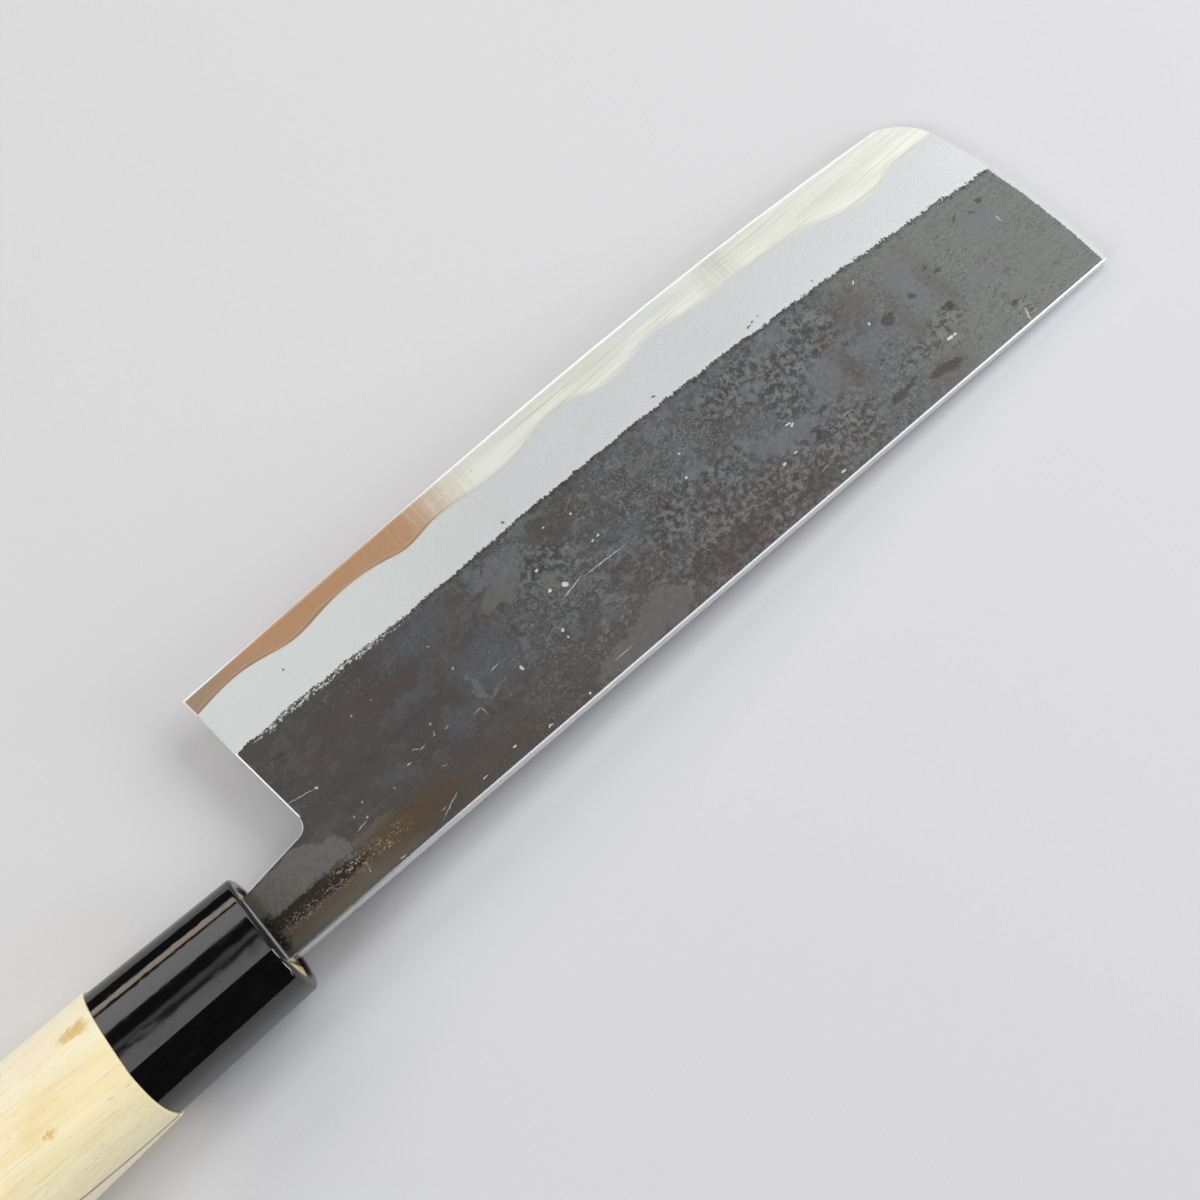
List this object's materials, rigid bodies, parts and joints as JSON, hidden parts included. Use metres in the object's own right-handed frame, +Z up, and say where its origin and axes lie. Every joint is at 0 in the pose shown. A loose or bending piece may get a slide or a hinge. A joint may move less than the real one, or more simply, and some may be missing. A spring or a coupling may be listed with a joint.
{
  "type": "nakiri knife",
  "caption": "Straight-edged vegetable knife with a laminated blade, dark forge-finished cheeks, black ring ferrule and pale wooden handle.",
  "frame": {"origin": "on the table, under the middle of the whole knife as it lies on its right side", "axes": "+X from the handle's butt to the blade's tip, +Y from the spine to the cutting edge, +Z up, away from the table; the knife rests on the ferrule's front rim and on the tip of its right cheek"},
  "size_m": [0.3066, 0.0578, 0.0275],
  "materials": {
    "core_steel": "polished lengthwise with fine scratches",
    "cladding_iron": "dark forge scale on the cheek, ground satin grey on the bevel",
    "ferrule_black": "gloss black",
    "handle_wood": "fine sanded, unvarnished pale wood"
  },
  "bodies": {
    "root": {"core_steel": "core_steel", "left_cladding": "cladding_iron", "right_cladding": "cladding_iron", "ferrule": "ferrule_black", "handle": "handle_wood"}
  },
  "joints": []
}
